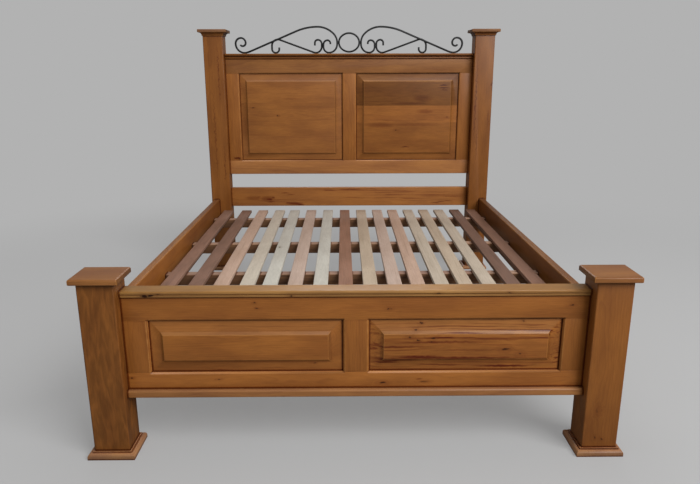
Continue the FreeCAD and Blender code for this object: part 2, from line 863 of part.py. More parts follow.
def inner_scroll(main_side_x):
    """The left inner scroll, welded behind the main one: a hook, a straight run and an end curl."""
    low_line = crest_floor + half_bar
    hook_r, curl_r = fitted(hook_top_radius), fitted(inner_curl_low_radius)
    hook_x, hook_z = hook_r - fitted(hook_reach), crest_floor + fitted(hook_centre_height)
    curl_x, curl_z = main_side_x - bar_side - weld_gap - curl_r, low_line + curl_r
    across = math.hypot(curl_x - hook_x, curl_z - hook_z)
    bearing = math.degrees(math.atan2(curl_z - hook_z, curl_x - hook_x))
    heading = bearing - math.degrees(math.asin((hook_r + curl_r) / across))
    leave = (hook_x - hook_r * sine(heading), hook_z + hook_r * cosine(heading))
    onward = BentBar(leave[0], leave[1], heading)
    onward.run(math.sqrt(across ** 2 - (hook_r + curl_r) ** 2))
    onward.bend(curl_r, 90 - heading)
    onward.run(fitted(inner_curl_side_run))
    onward.bend(fitted(inner_curl_top_radius), 90)
    onward.bend(fitted(inner_curl_tip_radius), 90)
    onward.run(fitted(inner_curl_tip_run))
    back = BentBar(leave[0], leave[1], heading + 180)
    back.bend(hook_r, 90 - heading)
    back.run(hook_z - low_line - fitted(hook_low_radius))
    back.bend(fitted(hook_low_radius), 90)
    hook_low_x = back.x
    back.bend(fitted(hook_low_radius), 90)
    back.run(fitted(hook_tip_run))
    plane = crest_y + bar_side
    return onward.solid(plane).fuse(back.solid(plane)).removeSplitter(), (hook_low_x, curl_x)


def crest_stud(x, y, clearance, extra_length):
    """A square stud under a low point of the crest, or with clearance the hole that takes it."""
    half = stud_side / 2 + clearance
    bottom = crest_floor - stud_length - extra_length
    return box((x - half, y - half, bottom), (x + half, y + half, crest_floor))


def lower_headboard_rail():
    """The plain rail across the head posts, just above the slats."""
    bottom = lower_rail_floor_gap
    top = bottom + lower_rail_width
    return tenoned_rail(bottom, top, headboard_front, [bottom, top])


def build():
    """All pieces of the bed, by name."""
    pieces = {}
    for side in (LEFT, RIGHT):
        label = SIDE_NAMES[side]
        pieces["head_post_" + label] = post(side, True)
        pieces["foot_post_" + label] = post(side, False)
        pieces["head_cap_" + label] = head_cap(side)
        pieces["foot_cap_" + label] = foot_cap(side)
        pieces["side_rail_" + label] = side_rail(side)
        pieces["ledger_" + label] = ledger(side)
    pieces["head_post_bases"] = Part.makeCompound(base_strips(LEFT, True) + base_strips(RIGHT, True))
    pieces["foot_post_bases"] = Part.makeCompound(base_strips(LEFT, False) + base_strips(RIGHT, False))
    pieces.update(frame_and_panel(
        "headboard", headboard_front, headboard_floor_gap, headboard_rail_width, headboard_opening_height))
    pieces.update(frame_and_panel(
        "footboard", footboard_front, footboard_floor_gap, footboard_rail_width, footboard_opening_height))
    pieces["headboard_lower_rail"] = lower_headboard_rail()
    pieces["footboard_cap_rail"] = foot_moulding()
    pieces["footboard_lip"] = footboard_lip()

    scroll, main_side_x, main_lows = main_scroll()
    inner, inner_lows = inner_scroll(main_side_x)
    pieces["crest_ring"] = crest_ring()
    for side in (LEFT, RIGHT):
        label = SIDE_NAMES[side]
        pieces["crest_scroll_" + label] = mirror_to_side(scroll, side)
        pieces["crest_inner_scroll_" + label] = mirror_to_side(inner, side)
    stud_places = [(x, crest_y) for x in main_lows] + [(x, crest_y + bar_side) for x in inner_lows]
    stud_places += [(-x, y) for x, y in stud_places]
    pieces["crest_studs"] = Part.makeCompound([crest_stud(x, y, 0, 0) for x, y in stud_places])
    stud_holes = [crest_stud(x, y, joint_clearance, tongue_end_gap) for x, y in stud_places]
    pieces["headboard_cap_rail"] = head_moulding().cut(stud_holes)

    corners = [(side, end) for side in (LEFT, RIGHT) for end in (True, False)]
    pieces["rail_hook_plates"] = Part.makeCompound([hook_plate(side, end) for side, end in corners])
    pieces["post_slot_plates"] = Part.makeCompound([slot_plate(side, end) for side, end in corners])

    for number, share in enumerate(bearer_place_shares, 1):
        pieces["bearer_%d" % number] = bearer(share)
    for number, share in enumerate(slat_place_shares[:slat_count], 1):
        pieces["slat_%02d" % number] = slat(share)
    return pieces


os.makedirs("parts", exist_ok=True)
for piece_name, piece in build().items():
    piece.exportStep("parts/%s.step" % piece_name)
    box_size = piece.BoundBox
    print("%-28s solids %d valid %s x %.1f..%.1f y %.1f..%.1f z %.1f..%.1f" % (
        piece_name, len(piece.Solids), piece.isValid(),
        box_size.XMin, box_size.XMax, box_size.YMin, box_size.YMax, box_size.ZMin, box_size.ZMax))
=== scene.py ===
import json
import logging
import math
import random
from dataclasses import dataclass, replace
from enum import Enum

import bmesh
import bpy
from mathutils import Matrix, Vector


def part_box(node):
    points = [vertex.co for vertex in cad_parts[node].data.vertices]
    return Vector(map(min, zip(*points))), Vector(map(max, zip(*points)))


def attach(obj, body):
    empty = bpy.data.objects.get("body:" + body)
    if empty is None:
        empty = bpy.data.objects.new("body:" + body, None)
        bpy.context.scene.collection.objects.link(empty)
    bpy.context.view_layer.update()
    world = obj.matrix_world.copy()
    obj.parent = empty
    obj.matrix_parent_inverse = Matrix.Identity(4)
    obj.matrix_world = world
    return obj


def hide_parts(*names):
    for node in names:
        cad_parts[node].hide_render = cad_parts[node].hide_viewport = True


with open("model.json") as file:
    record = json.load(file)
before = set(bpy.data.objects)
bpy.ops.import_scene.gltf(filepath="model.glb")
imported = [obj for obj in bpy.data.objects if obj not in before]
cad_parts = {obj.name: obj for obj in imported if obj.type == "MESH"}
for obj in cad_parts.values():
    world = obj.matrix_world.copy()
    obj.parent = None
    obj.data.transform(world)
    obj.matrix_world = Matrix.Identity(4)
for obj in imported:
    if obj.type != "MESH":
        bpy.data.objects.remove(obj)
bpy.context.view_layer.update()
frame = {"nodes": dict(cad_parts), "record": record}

# The looks of a wooden bed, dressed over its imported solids: raised-panel headboard and footboard
# between capped posts, side rails, a slatted base that lifts out, and a forged iron crest.
# Metres, +Z up, +Y from the foot of the bed to its head, +X to the right seen from the foot.

MM = 0.001
LOG = logging.getLogger("bed")
SLOTS = {part["node"]: part["material_slot"] for part in frame["record"]["subparts"]}
SCENE = bpy.context.scene
Pair = tuple[float, float]
Triple = tuple[float, float, float]
Source = bpy.types.Node | bpy.types.NodeSocket
SMOOTH = {"interpolation_type": "SMOOTHSTEP"}
HALF = (0.5, 0.5, 0.5)
LONGEST_KNOT_MM = 12
# A face whose normal comes closer than this to an axis is no slope.
SQUARE_ON = 0.9
# Only a slope at least this wide counts as the moulded edge round a panel.
CHAMFER_LEAST = 4 * MM


class Side(Enum):
    """The two sides of the bed, seen from the foot."""

    LEFT = "left"
    RIGHT = "right"


class Grain(Enum):
    """The way a board's fibres run: the axes along them, across the board and through it."""

    ACROSS_BED = (0, 2, 1)
    ACROSS_BED_FLAT = (0, 1, 2)
    ALONG_BED = (1, 0, 2)
    UPRIGHT = (2, 0, 1)


class Body(Enum):
    """The bodies that move on their own."""

    BED_FRAME = "bed_frame"
    SLAT_BASE = "slat_base"


def linear(colour: str) -> tuple[float, float, float, float]:
    """Turns an sRGB colour into the linear one that a shader takes.

    Args:
        colour: six hex digits after a hash sign.

    Returns:
        Linear red, green, blue and an alpha of 1.
    """
    parts = [int(colour[i:i + 2], 16) / 255 for i in (1, 3, 5)]
    turned = [c / 12.92 if c <= 0.04045 else ((c + 0.055) / 1.055) ** 2.4 for c in parts]
    return (turned[0], turned[1], turned[2], 1.0)


class Look:
    """The node tree of a material or a world while it is drawn."""

    def __init__(self, owner: bpy.types.Material | bpy.types.World) -> None:
        """Starts an empty tree.

        Args:
            owner: the new material or world.
        """
        self.owner = owner
        self.owner.use_nodes = True
        self.tree = owner.node_tree
        self.tree.nodes.clear()

    def put(self, kind: str, links: dict | None = None, **settings: object) -> bpy.types.Node:
        """Adds a shader node with its settings and links.

        Args:
            kind: the node's type, without the word ShaderNode that each starts with, and after a
                space its operation where it has one.
            links: a node or socket to link, or a plain value, for each input by name or number.
            settings: the node's own properties.

        Returns:
            The new node, whose first output is taken where it is linked as a whole.
        """
        kind, _, operation = kind.partition(" ")
        node = self.tree.nodes.new("ShaderNode" + kind)
        if operation:
            node.operation = operation
        for name, value in settings.items():
            setattr(node, name, value)
        for place, value in (links or {}).items():
            source = value.outputs[0] if isinstance(value, bpy.types.Node) else value
            if isinstance(source, bpy.types.NodeSocket):
                self.tree.links.new(source, node.inputs[place])
            else:
                node.inputs[place].default_value = source
        return node

    def streaks(self, place: Source, cells: Pair, **noise: float) -> bpy.types.Node:
        """Draws noise that is stretched along the fibres.

        Args:
            place: the place in the stem.
            cells: how many cells fall on a metre, along the fibres and across them.
            noise: the noise's other inputs.

        Returns:
            The noise.
        """
        along, across = cells
        stretched = self.put("Mapping", {"Vector": place, "Scale": (along, across, across)})
        return self.put("TexNoise", {"Vector": stretched, "Scale": 1.0, **noise})

    def close(self, shader: bpy.types.Node) -> bpy.types.Material | bpy.types.World:
        """Ends the tree in its surface output.

        Args:
            shader: the surface shader.

        Returns:
            The finished material or world.
        """
        end = "World" if isinstance(self.owner, bpy.types.World) else "Material"
        self.put("Output" + end, {"Surface": shader})
        return self.owner


def material_look(name: str) -> Look:
    """Starts a new material's tree."""
    return Look(bpy.data.materials.new(name))


@dataclass(frozen=True)
class Finish:
    """A finish whose material is drawn at its first use and then shared."""

    name: str

    def material(self) -> bpy.types.Material:
        """Gives the finish's material."""
        return bpy.data.materials.get(self.name) or self.draw(material_look(self.name))

    def draw(self, look: Look) -> bpy.types.Material:
        """Draws the node tree, each finish in its own way."""
        raise NotImplementedError


@dataclass(frozen=True)
class Mark:
    """A knot, pin knot or dark seam in a board's face, as the ellipse it fills on the bed (mm)."""

    x: float
    z: float
    wide: float
    high: float
    depth: float = 0.9

    @property
    def is_knot(self) -> bool:
        """Whether the fibres part round it."""
        return max(self.wide, self.high) < LONGEST_KNOT_MM


@dataclass(frozen=True)
class Timber(Finish):
    """Solid sawn timber, drawn in the round: growth rings about a pith, seams, fibres and knots.

    Fields named cells count a pattern's cells on a metre, along the stem and across it.
    """

    early: str
    late: str
    streak: str
    knot: str
    # Colour of the arrises: rubbed wear, and also a painted highlight along them.
    worn_and_highlight: str
    drift_cells: Pair = (3.4, 8.0)
    wander_mm: float = 18.0
    ring_mm: float = 4.2
    ring_share: float = 0.24
    ring_taper: float = 0.012
    uneven_years: float = 2.6
    zone_cells: Pair = (4.2, 15.0)
    zone_share: float = 0.5
    seam_cells: Pair = (1.9, 1 / (7 * MM))
    patch_cells: Pair = (2.3, 17.0)
    fibre_cells: Pair = (24.0, 700.0)
    fibre_shade: float = 0.12
    flame_cells: Pair = (15.0, 70.0)
    flame_levels: Pair = (-0.14, 0.3)
    knot_every_mm: float = 520.0
    knot_share: float = 0.12
    knot_radius_mm: Pair = (1.5, 4.5)
    knot_bulge_mm: float = 9.0
    ragged_cells: float = 55.0
    ragged_mm: Triple = (30.0, 0.0, 8.0)
    blush_hue: Triple = (0.0, -0.25, -0.45)
    blush_haze: Triple = (0.0, -0.0015, -0.012)
    end_shade: float = 0.62
    paler_arris_levels: Pair = (0.15, 0.6)
    # Painted shade in corners and joints: how far it reaches, its tint and its strength.
    crease_shade_reach_mm: float = 6.0
    crease_shade_tint: str = "#594434"
    crease_shade_gain: float = 4.0
    roughness: float = 0.7
    roughness_spread: float = 0.12
    gloss_level: float = 0.5
    coat: float = 0.0
    coat_roughness: float = 0.2
    bump_mm: float = 0.12

    def material(self, marks: tuple[Mark, ...] = (), owner: str = "") -> bpy.types.Material:
        """Gives the timber's material, drawn once for all plain boards and once for each marked one.

        Args:
            marks: the knots and seams that the board is known by.
            owner: the marked board's name.

        Returns:
            The material.
        """
        name = f"{self.name}_{owner}" if marks else self.name
        return bpy.data.materials.get(name) or self.draw(material_look(name), marks)

    def drift(self, look: Look, grain: Source) -> Source:
        """How far the fibres stray from a straight line, since no stem is straight.

        Args:
            look: the tree.
            grain: the place in the stem.

        Returns:
            A drift of a few millimetres over each metre.
        """
        noise = look.streaks(grain, self.drift_cells, Detail=3.0).outputs["Color"]
        centred = look.put("VectorMath SUBTRACT", {0: noise, 1: HALF})
        return look.put("VectorMath SCALE", {0: centred, "Scale": self.wander_mm * MM})

    def chance_knots(self, look: Look, grain: Source) -> tuple[Source, Source]:
        """Scatters a few small branch knots, each an ellipse along the grain.

        Args:
            look: the tree.
            grain: the place in the stem.

        Returns:
            The knots' dark cores, and the wider halo where fibres part round them.
        """
        put = look.put
        pitch = (self.knot_every_mm * MM, 0.3 * self.knot_every_mm * MM, 1.0)
        small, large = self.knot_radius_mm
        cell = put("VectorMath DIVIDE", {0: grain, 1: pitch})
        spots = put("TexVoronoi", {"Vector": cell, "Scale": 1.0}, voronoi_dimensions="2D").outputs
        away = put("VectorMath SUBTRACT", {0: cell, 1: spots["Position"]})
        away = put("VectorMath MULTIPLY", {0: away, 1: (pitch[0] * 0.45, pitch[1], 0.0)})
        away = put("VectorMath LENGTH", {0: away}).outputs["Value"]
        chance = put("SeparateColor", {"Color": spots["Color"]}).outputs
        there = put("Math LESS_THAN", {0: chance[0], 1: self.knot_share})
        size = put("MapRange", {"Value": chance[1], "To Min": small * MM, "To Max": large * MM})
        near = put("Math DIVIDE", {0: away, 1: size})
        core = put("MapRange", {"Value": near, "From Min": 1.25, "From Max": 0.75, "To Max": there})
        halo = put("MapRange", {"Value": near, "From Min": 5.0, "From Max": 0.6, "To Max": there}, **SMOOTH)
        return core, halo

    def own_marks(self, look: Look, drift: Source, marks: tuple[Mark, ...],
                  found: tuple[Source, Source, Source]) -> tuple[Source, Source, Source]:
        """Adds the marks that one board is known by, each wavering with its fibres.

        Args:
            look: the tree.
            drift: how far the fibres stray.
            marks: the marks.
            found: the knots' cores, their halos and the seams so far.

        Returns:
            The same three with the marks added.
        """
        put = look.put
        core, halo, seams = found
        reach = tuple(part * MM for part in self.ragged_mm)
        place = put("TexCoord").outputs["Object"]
        ragged = put("TexNoise", {"Vector": place, "Scale": self.ragged_cells, "Detail": 3.0}).outputs["Color"]
        ragged = put("VectorMath SUBTRACT", {0: ragged, 1: HALF})
        ragged = put("VectorMath MULTIPLY_ADD", {0: ragged, 1: reach, 2: place})
        place = put("VectorMath MULTIPLY_ADD", {0: drift, 1: HALF, 2: ragged})
        for mark in marks:
            scale = (1 / (mark.wide * MM), 0.0, 1 / (mark.high * MM))
            shift = (-mark.x / mark.wide, 0.0, -mark.z / mark.high)
            away = put("VectorMath MULTIPLY_ADD", {0: place, 1: scale, 2: shift})
            near = put("VectorMath LENGTH", {0: away}).outputs["Value"]
            dark = put("MapRange", {"Value": near, "From Min": 1.3, "From Max": 0.3, "To Max": mark.depth},
                       **SMOOTH)
            if not mark.is_knot:
                seams = put("Math MAXIMUM", {0: seams, 1: dark})
                continue
            core = put("Math MAXIMUM", {0: core, 1: dark})
            ring = put("MapRange", {"Value": near, "From Min": 4.5, "From Max": 0.6, "To Max": 0.8}, **SMOOTH)
            halo = put("Math MAXIMUM", {0: halo, 1: ring})
        return core, halo, seams

    def rings(self, look: Look, bent: Source, halo: Source) -> Source:
        """Growth rings: the distance from the pith, bulging round knots and tapering up the stem.

        Args:
            look: the tree.
            bent: the place in the stem, with its drift.
            halo: where fibres part round a knot.

        Returns:
            1 in the dark latewood of each ring, 0 in its earlywood.
        """
        put = look.put
        flat = put("VectorMath MULTIPLY", {0: bent, 1: (0.0, 1.0, 1.0)})
        radius = put("VectorMath LENGTH", {0: flat}).outputs["Value"]
        along = put("SeparateXYZ", {0: bent})
        radius = put("Math MULTIPLY_ADD", {0: along, 1: self.ring_taper, 2: radius})
        radius = put("Math MULTIPLY_ADD", {0: halo, 1: self.knot_bulge_mm * MM, 2: radius})
        years = put("Math DIVIDE", {0: radius, 1: self.ring_mm * MM})
        uneven = put("TexNoise", {"W": years, "Scale": 0.31, "Detail": 1.0}, noise_dimensions="1D")
        years = put("Math MULTIPLY_ADD", {0: uneven, 1: self.uneven_years, 2: years})
        year = put("Math FRACT", {0: years})
        ring = put("ValToRGB", {"Fac": year})
        for place, level in ((0.55, 0.2), (0.86, 1.0)):
            ring.color_ramp.elements.new(place).color = (level, level, level, 1.0)
        ring.color_ramp.elements[-1].color = (0.0, 0.0, 0.0, 1.0)
        return ring

    def seams(self, look: Look, bent: Source, figure: Source) -> Source:
        """Dark mineral seams, thin and ragged, gathered in patches where a board has figure.

        Args:
            look: the tree.
            bent: the place in the stem, with its drift.
            figure: how much of it this board has.

        Returns:
            The seams' strength.
        """
        put = look.put
        lines = look.streaks(bent, self.seam_cells, Detail=3.0, Roughness=0.55, Distortion=0.3)
        lines = put("MapRange", {"Value": lines, "From Min": 0.5, "From Max": 0.68}, **SMOOTH)
        patch = look.streaks(bent, self.patch_cells, Detail=1.0)
        patch = put("MapRange", {
            "Value": patch, "From Min": 0.42, "From Max": 0.6, "To Min": -0.2, "To Max": 0.7})
        patch = put("Math MULTIPLY_ADD", {0: figure, 1: 0.6, 2: patch}, use_clamp=True)
        lines = put("Math MULTIPLY", {0: lines, 1: patch})
        return put("Math MULTIPLY", {0: lines, 1: figure}, use_clamp=True)

    def draw(self, look: Look, marks: tuple[Mark, ...] = ()) -> bpy.types.Material:
        """Draws the timber's node tree.

        Args:
            look: the empty tree.
            marks: the marks that the board is known by.

        Returns:
            The new material.
        """
        put = look.put
        grain = put("Attribute", attribute_name="grain").outputs["Vector"]
        board = put("Attribute", attribute_name="board").outputs["Color"]
        tone, figure, mottle = put("SeparateColor", {"Color": board}).outputs
        edge = put("Attribute", attribute_name="edge").outputs["Color"]
        arris, end, blush = put("SeparateColor", {"Color": edge}).outputs

        drift = self.drift(look, grain)
        bent = put("VectorMath ADD", {0: grain, 1: drift})
        core, halo = self.chance_knots(look, grain)
        seams = self.seams(look, bent, figure)
        if marks:
            core, halo, seams = self.own_marks(look, drift, marks, (core, halo, seams))
        ring = self.rings(look, bent, halo)
        seams = put("Math MULTIPLY_ADD", {0: halo, 1: 0.3, 2: seams}, use_clamp=True)

        # Broad clouds of paler and redder heartwood.
        zones = look.streaks(bent, self.zone_cells, Detail=2.0, Roughness=0.45)
        zones = put("MapRange", {"Value": zones, "From Min": 0.34, "From Max": 0.66})

        # Fibres a fraction of a millimetre wide, drawn four times as coarse so that they show.
        fibre = look.streaks(bent, self.fibre_cells, Detail=2.0)

        # Mottled figure, like flames along the grain, where the fibres lean in and out of the face.
        dim, bright = self.flame_levels
        flame = look.streaks(bent, self.flame_cells, Detail=1.5, Distortion=0.7)
        flame = put("MapRange", {
            "Value": flame, "From Min": 0.4, "From Max": 0.7, "To Min": dim, "To Max": bright})

        # Earlywood to latewood. A board's blush makes it redder; below zero it makes it paler and cooler, as
        # under a veil, which seams and knots are drawn over. On faces that look up the blush also carries a
        # painted sheen, which makes them paler and cooler.
        depth = put("Math MULTIPLY", {0: ring, 1: self.ring_share})
        depth = put("Math MULTIPLY_ADD", {0: zones, 1: self.zone_share, 2: depth}, use_clamp=True)
        ends = {6: linear(self.early), 7: linear(self.late)}
        colour = put("Mix", {0: depth, **ends}, data_type="RGBA").outputs[2]
        haze = put("VectorMath SCALE", {0: self.blush_haze, "Scale": blush})
        colour = put("VectorMath ADD", {0: colour, 1: haze})
        for amount, paint in ((seams, self.streak), (core, self.knot)):
            colour = put("Mix", {0: amount, 6: colour, 7: linear(paint)}, data_type="RGBA").outputs[2]
        value = put("MapRange", {
            "Value": fibre, "From Min": 0.25, "From Max": 0.75,
            "To Min": 1 - self.fibre_shade, "To Max": 1 + self.fibre_shade})
        value = put("Math MULTIPLY_ADD", {0: flame, 1: mottle, 2: value})
        shade = put("MapRange", {"Value": end, "To Min": 1.0, "To Max": self.end_shade})
        for factor in (tone, shade):
            value = put("Math MULTIPLY", {0: value, 1: factor})
        hue = put("VectorMath SCALE", {0: self.blush_hue, "Scale": blush})
        hue = put("VectorMath ADD", {0: hue, 1: (1.0, 1.0, 1.0)})
        hue = put("VectorMath SCALE", {0: hue, "Scale": value})
        colour = put("VectorMath MULTIPLY", {0: colour, 1: hue})

        # Arrises drawn paler in patches: partly wear where hands and bedding have rubbed, partly a painted
        # highlight along the rounded edges.
        least, most = self.paler_arris_levels
        paler_arris = put("TexNoise", {"Vector": grain, "Scale": 38.0, "Detail": 2.0})
        paler_arris = put("MapRange", {
            "Value": paler_arris, "From Min": 0.35, "From Max": 0.65, "To Min": least, "To Max": most})
        paler_arris = put("Math MULTIPLY", {0: paler_arris, 1: arris})
        colour = put("Mix", {0: paler_arris, 6: colour, 7: linear(self.worn_and_highlight)}, data_type="RGBA").outputs[2]

        # Painted shade: colour darkened in corners and along joints, wherever ambient occlusion finds other
        # surfaces close by.
        open_sky = put("AmbientOcclusion", {"Distance": self.crease_shade_reach_mm * MM}, samples=6).outputs["AO"]
        crease_shade = put("MapRange", {"Value": open_sky, "From Min": 0.97, "From Max": 0.8}, **SMOOTH)
        crease_shaded = put("VectorMath MULTIPLY", {0: colour, 1: linear(self.crease_shade_tint)[:3]})
        crease_shaded = put("VectorMath SCALE", {0: crease_shaded, "Scale": self.crease_shade_gain})
        colour = put("Mix", {0: crease_shade, 6: colour, 7: crease_shaded}, data_type="RGBA").outputs[2]

        smoothest = self.roughness - self.roughness_spread / 2
        rough = put("Math MULTIPLY_ADD", {0: fibre, 1: self.roughness_spread, 2: smoothest})
        rough = put("Math MULTIPLY_ADD", {0: paler_arris, 1: 0.3, 2: rough}, use_clamp=True)
        relief = put("Math MULTIPLY_ADD", {0: ring, 1: 0.3, 2: fibre})
        bump = put("Bump", {"Strength": 0.5, "Distance": self.bump_mm * MM, "Height": relief})
        return look.close(put("BsdfPrincipled", {
            "Base Color": colour, "Roughness": rough, "Normal": bump, "IOR": 1.45,
            "Specular IOR Level": self.gloss_level, "Coat Weight": self.coat,
            "Coat Roughness": self.coat_roughness, "Coat IOR": 1.5}))


# Heart rimu under two coats of satin varnish: warm honey brown, long soft seams, a low sheen.
VARNISHED_RIMU = Timber(
    "satin_varnished_rimu", early="#935B27", late="#71401B", streak="#561E08", knot="#280D05",
    worn_and_highlight="#A87439", roughness=0.4, gloss_level=0.28, coat=0.02, coat_roughness=0.3)
# Sapwood of the same timber under the same varnish: paler and yellower.
VARNISHED_SAPWOOD = replace(
    VARNISHED_RIMU, name="satin_varnished_rimu_sapwood", early="#976A35", late="#795026")
# Rough-sawn framing pine, unfinished: dry and dull brown, fibres lifted by the saw.
SAWN_PINE = Timber(
    "sawn_pine", early="#7C5637", late="#5E3B23", streak="#3E2416", knot="#26140B", worn_and_highlight="#8F6E50",
    roughness=0.8, bump_mm=0.35, ring_mm=5.0)
# Planed slats in mixed offcuts, unfinished: matt, each stick in its own colour.
BROWN_SLAT = Timber(
    "planed_brown_timber", early="#7F5E4D", late="#644837", streak="#3A271B", knot="#261911",
    worn_and_highlight="#826A5A", bump_mm=0.2)
SLAT_TIMBERS = {
    "slat_brown": BROWN_SLAT,
    "slat_pink": replace(
        BROWN_SLAT, name="planed_pink_timber", early="#B59885", late="#A1836E", streak="#72523F",
        knot="#3F281C", worn_and_highlight="#B09480"),
    "slat_pale": replace(
        BROWN_SLAT, name="planed_pale_timber", early="#BBB0A0", late="#A79A8A", streak="#786854",
        knot="#483726", worn_and_highlight="#AEA594"),
    "slat_red": replace(
        BROWN_SLAT, name="planed_red_timber", early="#8F6853", late="#73503B", streak="#472C1F",
        knot="#2C1911", worn_and_highlight="#8C6853"),
}


@dataclass(frozen=True)
class ForgedIron(Finish):
    """Hammered bar under satin black paint: near black, faintly uneven, rubbed to grey on its edges."""

    name: str = "painted_forged_iron"
    paint: str = "#0C0D0F"
    rubbed: str = "#2A2B2E"
    hammer_mm: float = 9.0
    dent_mm: float = 0.35
    grit_cells: float = 420.0
    patch_cells: float = 36.0

    def draw(self, look: Look) -> bpy.types.Material:
        """Draws the painted iron.

        Args:
            look: the empty tree.

        Returns:
            The material.
        """
        put = look.put
        place = put("TexCoord").outputs["Object"]
        cells = 1.0 / (self.hammer_mm * MM)
        dents = put("TexVoronoi", {"Vector": place, "Scale": cells}, feature="SMOOTH_F1")
        grit = put("TexNoise", {"Vector": place, "Scale": self.grit_cells, "Detail": 3.0})
        patch = put("TexNoise", {"Vector": place, "Scale": self.patch_cells, "Detail": 3.0})
        patch = put("MapRange", {"Value": patch, "From Min": 0.5, "From Max": 0.72, "To Max": 0.6})
        edge = put("Attribute", attribute_name="edge").outputs["Color"]
        arris = put("SeparateColor", {"Color": edge})
        paler_arris = put("Math MULTIPLY", {0: patch, 1: arris})
        paints = {6: linear(self.paint), 7: linear(self.rubbed)}
        colour = put("Mix", {0: paler_arris, **paints}, data_type="RGBA").outputs[2]
        rough = put("MapRange", {"Value": grit, "To Min": 0.45, "To Max": 0.65})
        height = put("Math MULTIPLY_ADD", {0: grit, 1: 0.2, 2: dents})
        bump = put("Bump", {"Strength": 0.6, "Distance": self.dent_mm * MM, "Height": height})
        return look.close(put("BsdfPrincipled", {
            "Base Color": colour, "Roughness": rough, "Normal": bump, "IOR": 1.45}))


@dataclass(frozen=True)
class ZincPlate(Finish):
    """Pressed steel with bright zinc plating: pale grey with a faint spangle and dull scuffs."""

    name: str = "zinc_plated_steel"
    bright: str = "#B9B8B2"
    dull: str = "#86857F"
    spangle_mm: float = 3.0
    scuff_cells: float = 90.0

    def draw(self, look: Look) -> bpy.types.Material:
        """Draws the zinc plating.

        Args:
            look: the empty tree.

        Returns:
            The material.
        """
        put = look.put
        place = put("TexCoord").outputs["Object"]
        cells = 1.0 / (self.spangle_mm * MM)
        flakes = put("TexVoronoi", {"Vector": place, "Scale": cells}).outputs["Color"]
        flakes = put("SeparateColor", {"Color": flakes})
        scuff = put("TexNoise", {"Vector": place, "Scale": self.scuff_cells, "Detail": 4.0})
        mix = put("Math MULTIPLY_ADD", {0: flakes, 1: 0.4, 2: scuff})
        mix = put("MapRange", {"Value": mix, "From Min": 0.4, "From Max": 1.0})
        plating = {6: linear(self.bright), 7: linear(self.dull)}
        colour = put("Mix", {0: mix, **plating}, data_type="RGBA").outputs[2]
        rough = put("MapRange", {"Value": mix, "To Min": 0.3, "To Max": 0.55})
        return look.close(put("BsdfPrincipled", {"Base Color": colour, "Roughness": rough, "Metallic": 1.0}))


# The knots and dark seams that single boards are known by, each as the numbers of a Mark.
MARKS = {node: tuple(Mark(*row) for row in rows) for node, rows in {
    "footboard_cap_rail": (
        (-634, 518, 11, 5, 1), (-615, 519, 11, 4, 1), (-590, 524, 8, 2), (-194, 516, 5, 3), (245, 522, 6, 2),
        (463, 523, 5, 2)),
    "footboard_top_rail": (
        (-304, 497, 3, 2), (-298, 477, 5, 2), (100, 471, 5, 3), (650, 481, 7, 3)),
    "footboard_bottom_rail": (
        (-426, 243, 6, 2), (84, 229, 9, 3), (196, 240, 14, 3, 0.6), (210, 231, 10, 2, 0.6)),
    "footboard_panel_left": ((-420, 271, 24, 2, 0.6), (-130, 296, 5, 2), (-250, 276, 60, 2, 0.4)),
    "footboard_panel_right": (
        (197, 424, 4, 3), (183, 403, 5, 3), (164, 384, 6, 4), (189, 373, 6, 3), (234, 379, 8, 4),
        (230, 368, 6, 2), (456, 342, 10, 4), (504, 327, 6, 3), (507, 427, 4, 2), (300, 313, 250, 6, 1),
        (120, 308, 90, 9, 1), (460, 281, 100, 5, 1), (260, 286, 90, 4, 0.7), (190, 318, 90, 5, 1),
        (90, 297, 50, 5, 0.9), (260, 366, 170, 4, 0.7), (110, 352, 110, 4, 0.8), (430, 374, 110, 3, 0.6),
        (330, 340, 120, 3, 0.4)),
    "foot_post_right": ((745, 57, 3, 4), (765, 52, 2, 3), (748, 150, 5, 9, 0.3)),
    "headboard_stile_left": ((-660, 673, 20, 6, 1), (-645, 667, 9, 4)),
    "headboard_panel_left": ((-414, 915, 5, 3), (-557, 962, 7, 2), (-330, 1010, 60, 6, 0.25)),
    "headboard_panel_right": (
        (545, 1086, 30, 4, 1), (542, 1072, 32, 4, 0.9), (550, 1060, 24, 3, 0.9), (425, 1012, 60, 22, 0.5),
        (350, 984, 110, 8, 0.5), (440, 938, 50, 14, 0.5), (180, 862, 100, 16, 0.45), (390, 864, 170, 9, 0.35),
        (273, 833, 7, 3, 1), (328, 735, 26, 3, 1)),
    "head_post_left": ((-738, 1150, 3, 170, 0.7), (-776, 800, 4, 260, 0.5), (-728, 640, 3, 120, 0.6)),
    "head_post_right": (
        (814, 1081, 3, 30, 0.8), (800, 900, 3, 50, 0.5), (726, 1000, 4, 280, 0.7), (742, 760, 3, 160, 0.5)),
    "headboard_lower_rail": (
        (-575, 434, 50, 14, 0.45), (-548, 441, 18, 5, 0.6), (-492, 430, 46, 20, 0.6), (-482, 426, 26, 9, 1),
        (-462, 437, 14, 6, 0.9), (-470, 412, 30, 6, 0.8), (-335, 399, 52, 10, 0.9), (-305, 395, 34, 6, 1),
        (-370, 404, 16, 4, 0.8), (-385, 463, 26, 3, 0.8), (-350, 455, 22, 3, 0.7), (-120, 480, 50, 5, 0.8),
        (10, 484, 90, 5, 0.8), (120, 486, 60, 3, 0.6), (520, 400, 30, 3, 0.9), (548, 408, 26, 3, 0.8),
        (590, 412, 30, 2.5, 0.7), (728, 455, 16, 12, 0.8), (350, 472, 90, 5, 0.5), (620, 440, 80, 3, 0.6)),
}.items()}


